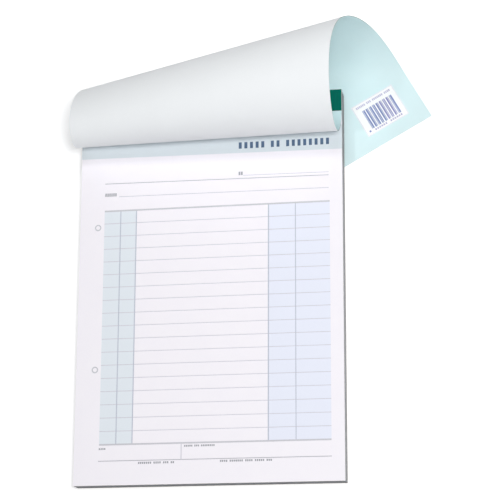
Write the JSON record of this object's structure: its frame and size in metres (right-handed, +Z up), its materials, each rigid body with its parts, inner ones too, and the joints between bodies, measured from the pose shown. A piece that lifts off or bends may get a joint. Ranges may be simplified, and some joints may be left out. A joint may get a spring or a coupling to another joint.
{
  "type": "delivery note pad",
  "caption": "Head-bound pad of ruled self-copy delivery forms, lying face up, its card cover rolled back over the head in a wide cone and tucked under the backboard.",
  "frame": {"origin": "on the desk below the middle of the cover's crease: Y is 0 along the crease and Z is 0 at the underside of the cover's free end, which the pad's head rests on", "axes": "+Y along the pad to its bound head, +Z up out of the top form, +X across to the reader's right"},
  "size_m": [0.1972, 0.2498, 0.0647],
  "materials": {
    "white_paper": "matte",
    "copy_paper": "matte",
    "mint_card": "satin",
    "green_tape": "matte, fine cloth grain",
    "grey_board": "matte",
    "steel_wire": "bright",
    "milky_glue": "satin",
    "sticker_paper": "satin"
  },
  "bodies": {
    "bound_pad": {"staple_left": "steel_wire", "staple_right": "steel_wire", "backboard": "grey_board", "lower_sets": "white_paper", "original_1_stub": "white_paper", "copy_1_stub": "copy_paper", "original_2_stub": "white_paper", "copy_2_stub": "copy_paper", "original_3_stub": "white_paper", "copy_3_stub": "copy_paper", "cover_bound_strip": "mint_card", "head_glue": "milky_glue", "binding_tape": "green_tape"},
    "rolled_cover": {"cover": "mint_card", "barcode_sticker": "sticker_paper"},
    "original_1_leaf": {"original_1": "white_paper"},
    "copy_1_leaf": {"copy_1": "copy_paper"},
    "original_2_leaf": {"original_2": "white_paper"},
    "copy_2_leaf": {"copy_2": "copy_paper"},
    "original_3_leaf": {"original_3": "white_paper"},
    "copy_3_leaf": {"copy_3": "copy_paper"}
  },
  "joints": [
    {"name": "cover_hinge", "type": "hinge", "parent": "bound_pad", "child": "rolled_cover", "pos_m": [0, 0, 0.0113], "axis": [1, 0, 0], "range_deg": [0, 2]},
    {"name": "original_1_turn", "type": "hinge", "parent": "bound_pad", "child": "original_1_leaf", "pos_m": [0, -0.005, 0.01105], "axis": [-1, 0, 0], "range_deg": [0, 22]},
    {"name": "copy_1_turn", "type": "hinge", "parent": "bound_pad", "child": "copy_1_leaf", "pos_m": [0, -0.005, 0.01096], "axis": [-1, 0, 0], "range_deg": [0, 18.7]},
    {"name": "original_2_turn", "type": "hinge", "parent": "bound_pad", "child": "original_2_leaf", "pos_m": [0, -0.005, 0.01087], "axis": [-1, 0, 0], "range_deg": [0, 15.4]},
    {"name": "copy_2_turn", "type": "hinge", "parent": "bound_pad", "child": "copy_2_leaf", "pos_m": [0, -0.005, 0.01078], "axis": [-1, 0, 0], "range_deg": [0, 12.1]},
    {"name": "original_3_turn", "type": "hinge", "parent": "bound_pad", "child": "original_3_leaf", "pos_m": [0, -0.005, 0.01069], "axis": [-1, 0, 0], "range_deg": [0, 8.8]},
    {"name": "copy_3_turn", "type": "hinge", "parent": "bound_pad", "child": "copy_3_leaf", "pos_m": [0, -0.005, 0.0106], "axis": [-1, 0, 0], "range_deg": [0, 5.5]}
  ],
  "couplings": [
    {"joint": "copy_1_turn", "follows": "original_1_turn", "ratio": 0.85},
    {"joint": "original_2_turn", "follows": "original_1_turn", "ratio": 0.7},
    {"joint": "copy_2_turn", "follows": "original_1_turn", "ratio": 0.55},
    {"joint": "original_3_turn", "follows": "original_1_turn", "ratio": 0.4},
    {"joint": "copy_3_turn", "follows": "original_1_turn", "ratio": 0.25}
  ]
}
